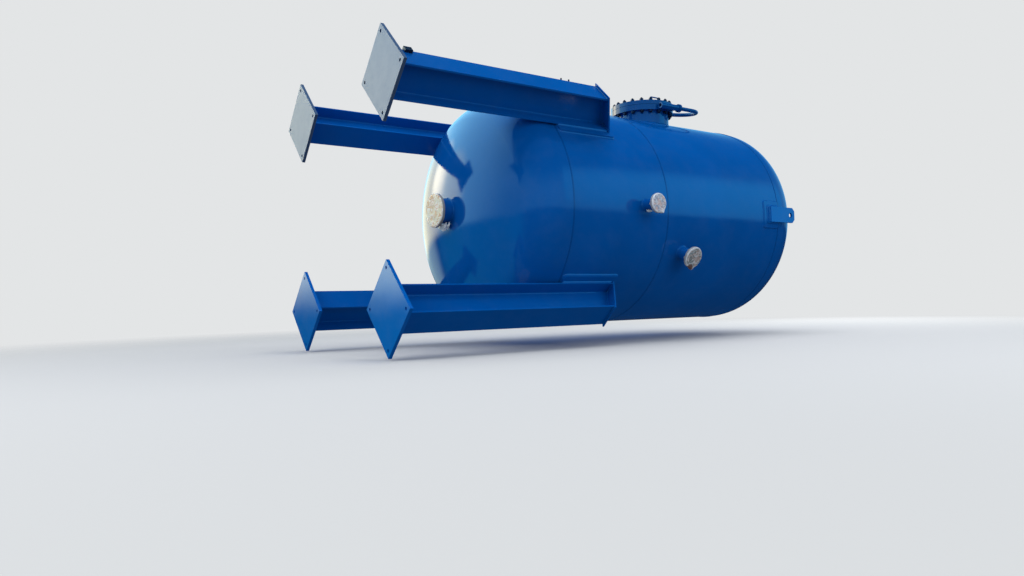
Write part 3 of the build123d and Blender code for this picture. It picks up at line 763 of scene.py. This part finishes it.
class VESSEL_OT_stage(bpy.types.Operator):
    """Camera at the photograph's place, soft lamps, a pale world and pale floors"""

    bl_idname = "vessel.stage"
    bl_label = "Set the stage"

    def execute(self, context):
        scene = context.scene
        scene.view_settings.view_transform = "Standard"
        self.add_camera(scene)
        self.add_world(scene)
        self.add_lamps(scene)
        self.add_floors(scene)
        return {"FINISHED"}

    def add_camera(self, scene):
        """Camera at the photograph's place: columns are its right, its up and its back."""
        data = bpy.data.cameras.new("photo_camera")
        data.sensor_width = 36.0
        data.lens = 26.178
        data.clip_end = 200.0
        place = Vector((6.8161, 1.0142, -2.7332))
        right = Vector((0.569803, 0.027617, 0.821317))
        up = Vector((0.035114, -0.999341, 0.009242))
        back = Vector((0.821031, 0.023573, -0.570397))
        turn = Matrix((right, up, back)).transposed().to_4x4()
        camera = bpy.data.objects.new("photo_camera", data)
        camera.matrix_world = Matrix.Translation(place) @ turn
        scene.collection.objects.link(camera)
        scene.camera = camera

    def add_world(self, scene):
        """Pale everywhere for the camera. Other rays see a soft sky over the manway side and a dim ground
        opposite, as in an open yard. In reflections the sky is hazy near the horizon, deep blue overhead, and
        bright low behind the feet, with paler patches past the top head and on the ground at the feet."""
        world = bpy.data.worlds.new("soft_sky")
        world.use_nodes = True
        world.cycles.sampling_method = "NONE"
        scene.world = world
        tree = world.node_tree
        tree.nodes.clear()
        ray = add_node(tree, "TexCoord").outputs["Generated"]
        height = add_node(tree, "SeparateXYZ", {0: ray}).outputs["Y"]
        raised = add_node(tree, "MapRange", {"Value": height, "From Min": 1.0, "From Max": -1.0})
        both = {0: raised, 6: linear("#6A6D70"), 7: linear("#D4DAE2")}
        diffuse = add_node(tree, "Mix", both, data_type="RGBA")
        # In reflections: how far a ray is overhead, and the haze and the deep sky that it passes between
        climb = {"Value": height, "From Min": -0.25, "From Max": -0.65}
        overhead = add_node(tree, "MapRange", climb, interpolation_type="SMOOTHSTEP")
        both = {0: overhead, 6: (0.16, 0.55, 0.95, 1.0), 7: (0.01, 0.10, 0.35, 1.0)}
        sky = add_node(tree, "Mix", both, data_type="RGBA")
        sky = self.add_glow(tree, ray, sky, (-0.85, -0.45, -0.35), 0.42, 1.0, (0.80, 2.0, 2.75))
        sky = self.add_glow(tree, ray, sky, (-0.84, -0.24, -0.49), 0.955, 0.995, (2.6, 3.1, 2.5))
        sky = self.add_glow(tree, ray, sky, (-1.0, -0.05, -0.02), 0.90, 0.985, (2.1, 2.05, 1.4))
        sky = self.add_glow(tree, ray, sky, (-0.93, -0.30, -0.22), 0.978, 1.005, (6.6, 6.2, 4.4))
        sky = self.add_glow(tree, ray, sky, (0.60, -0.28, 0.75), 0.94, 0.995, (0.12, 0.88, 1.75))
        ground = linear("#1A2530")
        ground = self.add_glow(tree, ray, ground, (-0.50, 0.25, -0.83), 0.60, 0.95, (0.02, 0.42, 0.75))
        ground = self.add_glow(tree, ray, ground, (-1.0, 0.06, 0.05), 0.95, 0.99, (0.52, 0.78, 0.80))
        climb = {"Value": height, "From Min": 0.01, "From Max": -0.05}
        above = add_node(tree, "MapRange", climb, interpolation_type="SMOOTHSTEP")
        glossy = add_node(tree, "Mix", {0: above, 6: ground, 7: sky}, data_type="RGBA")
        # Which rays see which
        path = add_node(tree, "LightPath").outputs
        through = {0: path["Is Glossy Ray"], 1: path["Is Transmission Ray"]}
        mirror = add_node(tree, "Math", through, operation="MAXIMUM")
        unseen = add_node(tree, "Mix", {0: mirror, 6: diffuse, 7: glossy}, data_type="RGBA")
        both = {0: path["Is Camera Ray"], 6: unseen, 7: linear("#E3E5E6")}
        seen = add_node(tree, "Mix", both, data_type="RGBA")
        background = add_node(tree, "Background", {"Color": seen, "Strength": 1.0})
        add_node(tree, "OutputWorld", {0: background})

    def add_glow(self, tree, ray, colour, direction, begins, full, light):
        """Mixes a light into a colour round a direction: begins and full are the cosines of its two edges."""
        toward = {0: ray, 1: Vector(direction).normalized()}
        toward = add_node(tree, "VectorMath", toward, operation="DOT_PRODUCT")
        share = {"Value": toward, "From Min": begins, "From Max": full}
        share = add_node(tree, "MapRange", share, interpolation_type="SMOOTHSTEP")
        return add_node(tree, "Mix", {0: share, 6: colour, 7: (*light, 1.0)}, data_type="RGBA")

    def add_lamps(self, scene):
        """Large soft lamps, each with its place, the point it faces, its size and its power."""
        lamps = {
            "sky_lamp": ((1.0, -8.5, 3.5), (0, 0, 3.2), 7.0, 310),
            "feet_lamp": ((2.5, -3.5, -7.5), (0, 0, 1.5), 6.0, 262),
            "front_lamp": ((9.0, -2.0, 3.5), (0, 0, 3.0), 5.0, 130),
            "top_lamp": ((-1.0, -2.5, 12.0), (0, 0, 5.0), 5.0, 230),
            "back_lamp": ((-7.0, 6.0, 5.0), (0, 0, 3.0), 6.0, 380),
        }
        for name, (place, target, size, power) in lamps.items():
            data = bpy.data.lights.new(name, "AREA")
            data.shape = "SQUARE"
            data.size = size
            data.energy = power
            lamp = bpy.data.objects.new(name, data)
            lamp.location = place
            lamp.rotation_euler = (Vector(target) - Vector(place)).to_track_quat("-Z", "Y").to_euler()
            lamp.visible_glossy = False
            lamp.visible_camera = False
            scene.collection.objects.link(lamp)

    def add_floors(self, scene):
        """Pale floor under the feet, and one beside the shell on which it lies in the photograph's view. Each
        shows from one side, only to the camera, and fades out round the vessel."""
        centre = (cad_box[0][2] + cad_box[1][2]) / 2
        under, beside = -0.002, cad_box[1][1] + 0.012
        self.add_floor(scene, "standing_floor", (0, 0, under), (FRONT, -OUT), (3.5, 8.0))
        self.add_floor(scene, "lying_floor", (0, beside, centre), (FRONT, UP), (4.5, 11.0))

    def add_floor(self, scene, name, origin, spans, fade):
        """Square floor, 28 m wide, about an origin, along two spans. It fades between two distances."""
        self.floor_finish(f"{name}_pale_concrete", origin, fade)
        s, t = np.meshgrid([-14.0, 14.0], [-14.0, 14.0], indexing="ij")
        corners = np.array(origin) + s[..., None] * spans[0] + t[..., None] * spans[1]
        mesh = bpy.data.meshes.new(name)
        mesh.from_pydata(corners.reshape(-1, 3), [], [(0, 2, 3, 1)])
        mesh.materials.append(bpy.data.materials[f"{name}_pale_concrete"])
        floor = bpy.data.objects.new(name, mesh)
        scene.collection.objects.link(floor)
        floor.visible_diffuse = False
        floor.visible_glossy = False
        floor.visible_transmission = False
        floor.visible_shadow = False

    def floor_finish(self, name, centre, fade):
        """Smooth pale concrete that fades into the background between two distances from a point."""
        tree, place = new_material(name)
        apart = add_node(tree, "VectorMath", {0: place, 1: centre}, operation="DISTANCE")
        faded = {"Value": apart, "From Min": fade[0], "From Max": fade[1]}
        faded = add_node(tree, "MapRange", faded, interpolation_type="SMOOTHSTEP")
        behind = add_node(tree, "NewGeometry").outputs["Backfacing"]
        hidden = add_node(tree, "Math", {0: faded, 1: behind}, operation="MAXIMUM")
        pale = add_node(tree, "BsdfDiffuse", {"Color": linear("#D9DADA")})
        clear = add_node(tree, "BsdfTransparent")
        mixed = add_node(tree, "MixShader", {0: hidden, 1: pale, 2: clear})
        add_node(tree, "OutputMaterial", {0: mixed})


class VESSEL_OT_finishes(bpy.types.Operator):
    """Make the finishes and put them on the solids"""

    bl_idname = "vessel.finishes"
    bl_label = "Finish the solids"

    def execute(self, context):
        enamel("polyurethane_enamel_on_shell", 0.03, lined=True)
        enamel("polyurethane_enamel_on_fittings", 0.04)
        # Darker enamels, painted shade: on the manway's parts, on the neck under the flange and along the
        # seams
        enamel("polyurethane_enamel_on_manway_painted_shade", 0.0, depth=0.58)
        enamel("polyurethane_enamel_painted_shade", 0.0, depth=0.76)
        enamel("polyurethane_enamel_on_legs", 0.03)
        # The plates nearer the manway get painted shade on their rims and a painted sky reflection underneath
        enamel("polyurethane_enamel_on_plates", 0.04, depth=1.25, painted_light=True)
        # The number after the board colours is painted light and shade; the last is painted shade behind
        stretch_film("side_nozzle_low", "#CDB2AB", "#959EB2", 1.3, 0.88, 0.5)
        face, axis, reach = NOZZLES["side_nozzle_high"]
        rusty = face + 0.98 * reach * np.cross(UP, axis) - 0.24 * reach * UP
        stretch_film("side_nozzle_high", "#A39490", "#66787E", 1.05, 0.88, 0.5, (tuple(rusty), 0.052))
        for node in ("bottom_nozzle", "top_nozzle"):
            stretch_film(node, "#C7976C", "#D8CFB4", 1.7, 0.98, 0.25)
        loose_film()
        rubber()
        black_oxide("black_oxide_studs", 0.7)
        black_oxide("black_oxide_block", 0.25)
        special = {node: name for name, nodes in FINISHES.items() for node in nodes}
        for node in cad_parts:
            name = special.get(node, "polyurethane_enamel_on_fittings")
            if node.startswith("leg_"):
                name = "polyurethane_enamel_on_legs"
            if "shell_" in node or node.endswith("_head"):
                name = "polyurethane_enamel_on_shell"
            for material_slot in bpy.data.objects[node].material_slots:
                material_slot.material = bpy.data.materials[name]
        return {"FINISHED"}


class VESSEL_OT_seams(bpy.types.Operator):
    """Butt welds round and up the shell"""

    bl_idname = "vessel.seams"
    bl_label = "Weld the shell"

    def execute(self, context):
        # The seams take the darker enamel, painted shade along their toes
        paint = "polyurethane_enamel_painted_shade"
        rings = [girth_seam(z) for z in (LOW_SEAM, MID_SEAM, TOP_SEAM)]
        add_piece("girth_seams", rings, paint, "vessel")
        lines = [long_seam(*seam) for seam in LONG_SEAMS]
        add_piece("long_seams", lines, paint, "vessel")
        return {"FINISHED"}


class VESSEL_OT_leg_welds(bpy.types.Operator):
    """Fillet welds of the wear pads, beams, caps and base plates"""

    bl_idname = "vessel.leg_welds"
    bl_label = "Weld the legs"

    def execute(self, context):
        size = context.scene.vessel_welds.fillet
        slope_drop = CAP_THICK * math.hypot(1.0, CAP_SLOPE)
        under_cap = CAP_LOW + CAP_SLOPE * BEAM_DEPTH / 2 - slope_drop
        inner_top = CAP_LOW + CAP_SLOPE * (BEAM_DEPTH - BEAM_FLANGE) - slope_drop
        inner_foot = PAD_LOW + 0.002
        pads, beams = [], []
        for degrees in LEG_DEGREES:
            pad = rounded_outline(PAD_WIDTH, PAD_LOW, PAD_HIGH, PAD_CORNER)
            pads.append(weld_on_shell(pad, SHELL_R, degrees, size))
            beams.append(beam_weld(degrees, PLATE_TOP, 0.0, 1, size))
            beams.append(beam_weld(degrees, under_cap, CAP_SLOPE, -1, 0.7 * size))
            beams.append(cap_weld(degrees, size))
            for side in (-1, 1):
                line = np.array([[side * BEAM_WIDTH / 2, inner_foot], [side * BEAM_WIDTH / 2, inner_top]])
                line = (line, np.array([[side, 0.0], [side, 0.0]]))
                beams.append(weld_on_shell(line, SHELL_R + PAD_THICK, degrees, 1.25 * size, closed=False))
        paint = "polyurethane_enamel_on_legs"
        add_piece("wear_pad_welds", pads, paint, "vessel")
        add_piece("leg_welds", beams, paint, "vessel")
        return {"FINISHED"}


class VESSEL_OT_fitting_welds(bpy.types.Operator):
    """Fillet welds of the nozzles, manway, lugs and handles"""

    bl_idname = "vessel.fitting_welds"
    bl_label = "Weld the fittings"

    def execute(self, context):
        size = context.scene.vessel_welds.fillet
        paint = "polyurethane_enamel_on_fittings"
        # Neck's radius and height, its angle, and the weld's size
        rows = (
            (NECK_R, MANWAY_Z, -90.0, 1.3 * size),
            (HAND_NECK_R, HAND_Z, -90.0, size),
            (LOW_NECK_R, NOZZLES["side_nozzle_low"][0][2], 0.0, size),
            (HIGH_NECK_R, NOZZLES["side_nozzle_high"][0][2], HIGH_DEGREES, size),
        )
        necks = [weld_on_shell(round_outline(radius, z), SHELL_R, *weld) for radius, z, *weld in rows]
        # The head's crown falls away by r^2 / 2R at the nozzle
        crown_drop = END_NECK_R ** 2 / (2 * CROWN_R)
        necks.append(ring_weld((LOW_POLE + crown_drop) * UP, -UP, END_NECK_R, size))
        necks.append(ring_weld((TOP_POLE - crown_drop) * UP, UP, END_NECK_R, size))
        add_piece("neck_welds", necks, paint, "vessel")
        half = LUG_WIDTH / 2
        foot = np.array([
            [half, DOUBLER_HIGH], [half, LUG_LOW], [half, LUG_LOW],
            [-half, LUG_LOW], [-half, LUG_LOW], [-half, DOUBLER_HIGH],
        ])
        foot_normals = np.array([[1.0, 0], [1, 0], [0, -1], [0, -1], [-1, 0], [-1, 0]])
        lug_foot_r = SHELL_R + 2 * LUG_PAD_THICK
        lugs = []
        for degrees in (0.0, 180.0):
            pad = rounded_outline(LUG_PAD_WIDTH, LUG_PAD_LOW, LUG_PAD_HIGH, LUG_PAD_CORNER)
            lugs.append(weld_on_shell(pad, SHELL_R, degrees, 0.8 * size))
            doubler = rounded_outline(DOUBLER_WIDTH, DOUBLER_LOW, DOUBLER_HIGH, DOUBLER_CORNER)
            lugs.append(weld_on_shell(doubler, SHELL_R + LUG_PAD_THICK, degrees, 0.8 * size))
            lugs.append(weld_on_shell((foot, foot_normals), lug_foot_r, degrees, size, closed=False))
        add_piece("lug_welds", lugs, paint, "vessel")
        low, high = sides("cover_handles")
        bars = [
            np.array([x, COVER_FACE, z])
            for x in (low[0] + HANDLE_R, high[0] - HANDLE_R) for z in (low[2] + HANDLE_R, high[2] - HANDLE_R)
        ]
        feet = [ring_weld(bar, OUT, HANDLE_R, 0.005) for bar in bars]
        add_piece("handle_welds", feet, "polyurethane_enamel_on_manway_painted_shade", "manway_door")
        return {"FINISHED"}


class VESSEL_OT_studs(bpy.types.Operator):
    """Studs and heavy hex nuts of the manway and the handhole"""

    bl_idname = "vessel.studs"
    bl_label = "Bolt the manway and handhole"

    def execute(self, context):
        sizes = context.scene.vessel_fasteners
        manway = studs_on_ring(
            MANWAY_Z, MANWAY_STUDS_R, sizes.manway_count, FLANGE_BACK, COVER_FACE,
            sizes.stud_r, sizes.nut_flats, sizes.stud_end, seed=5,
        )
        add_piece("manway_studs", manway, "black_oxide_studs", "vessel", sharp=25.0)
        hand_flats = 2.4 * sizes.hand_stud_r + 0.009
        hand = studs_on_ring(
            HAND_Z, HAND_STUDS_R, HAND_STUDS, HAND_FLANGE_FACE + HAND_FLANGE_THICK, HAND_FACE,
            sizes.hand_stud_r, hand_flats, sizes.hand_stud_end, seed=6,
        )
        add_piece("handhole_studs", hand, "black_oxide_studs", "vessel", sharp=25.0)
        return {"FINISHED"}


class VESSEL_OT_covers(bpy.types.Operator):
    """Crinkled film covers on the four open nozzles"""

    bl_idname = "vessel.covers"
    bl_label = "Cover the nozzles"

    def execute(self, context):
        ledge = 0.012
        end_lip = NOZZLES["bottom_nozzle"][2] - ledge
        # Radius where the film ends, its skirt and cone, and the corner that sticks out
        covers = {
            "side_nozzle_low": (LOW_NECK_R + ledge, 0.026, 0.034, (31.0, 0.016)),
            "side_nozzle_high": (HIGH_NECK_R + ledge, 0.026, 0.030, (4.0, 0.022)),
            "bottom_nozzle": (end_lip, 0.030, 0.004, (60.0, 0.004)),
            "top_nozzle": (end_lip, 0.030, 0.004, (200.0, 0.004)),
        }
        for seed, (node, shape) in enumerate(covers.items()):
            face, axis, flange_r = NOZZLES[node]
            grids = [(placed(film_cover(flange_r, *shape, seed), face, axis), False, True)]
            finish = f"polyethylene_film_on_{node}"
            piece = add_piece(f"{node}_film", grids, finish, "vessel", sharp=60.0)
            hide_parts(f"{node}_cover")
        # Torn ends along two of the necks: the neck, start, length, width, how far each hangs, and its angle
        torn = {
            "side_nozzle_low": (LOW_NECK_R, 0.105, 0.060, 0.060, 0.018, -10.0),
            "bottom_nozzle": (END_NECK_R, 0.052, 0.098, 0.150, 0.055, 8.0),
        }
        tails = []
        for seed, (node, shape) in enumerate(torn.items()):
            face, axis, _ = NOZZLES[node]
            tails.append((placed(film_tail(*shape, seed), face, axis), False, True))
        add_piece("torn_film", tails, "polyethylene_film_torn", "vessel", sharp=60.0)
        return {"FINISHED"}


class VESSEL_PT_panel(bpy.types.Panel):
    """Lists the steps in their order"""

    bl_label = "Vessel finish"
    bl_idname = "VESSEL_PT_panel"
    bl_space_type = "VIEW_3D"
    bl_region_type = "UI"
    bl_category = "Vessel"

    def draw(self, context):
        for step in STEPS:
            self.layout.operator(step.bl_idname)


GROUPS = {
    "vessel_finish": FinishColours,
    "vessel_fasteners": FastenerSizes,
    "vessel_welds": WeldSizes,
    "vessel_covers": CoverSizes,
}
STEPS = (
    VESSEL_OT_stage,
    VESSEL_OT_finishes,
    VESSEL_OT_seams,
    VESSEL_OT_leg_welds,
    VESSEL_OT_fitting_welds,
    VESSEL_OT_studs,
    VESSEL_OT_covers,
)


def register():
    """Registers the sizes, the steps and the panel."""
    for name, group in GROUPS.items():
        bpy.utils.register_class(group)
        setattr(bpy.types.Scene, name, PointerProperty(type=group))
    for step in (*STEPS, VESSEL_PT_panel):
        bpy.utils.register_class(step)


def unregister():
    """Takes away what register added."""
    for step in reversed((*STEPS, VESSEL_PT_panel)):
        bpy.utils.unregister_class(step)
    for name, group in GROUPS.items():
        delattr(bpy.types.Scene, name)
        bpy.utils.unregister_class(group)


def main():
    """Runs the steps in order."""
    register()
    bpy.ops.vessel.stage()
    bpy.ops.vessel.finishes()
    bpy.ops.vessel.seams()
    bpy.ops.vessel.leg_welds()
    bpy.ops.vessel.fitting_welds()
    bpy.ops.vessel.studs()
    bpy.ops.vessel.covers()


if __name__ == "__main__":
    main()
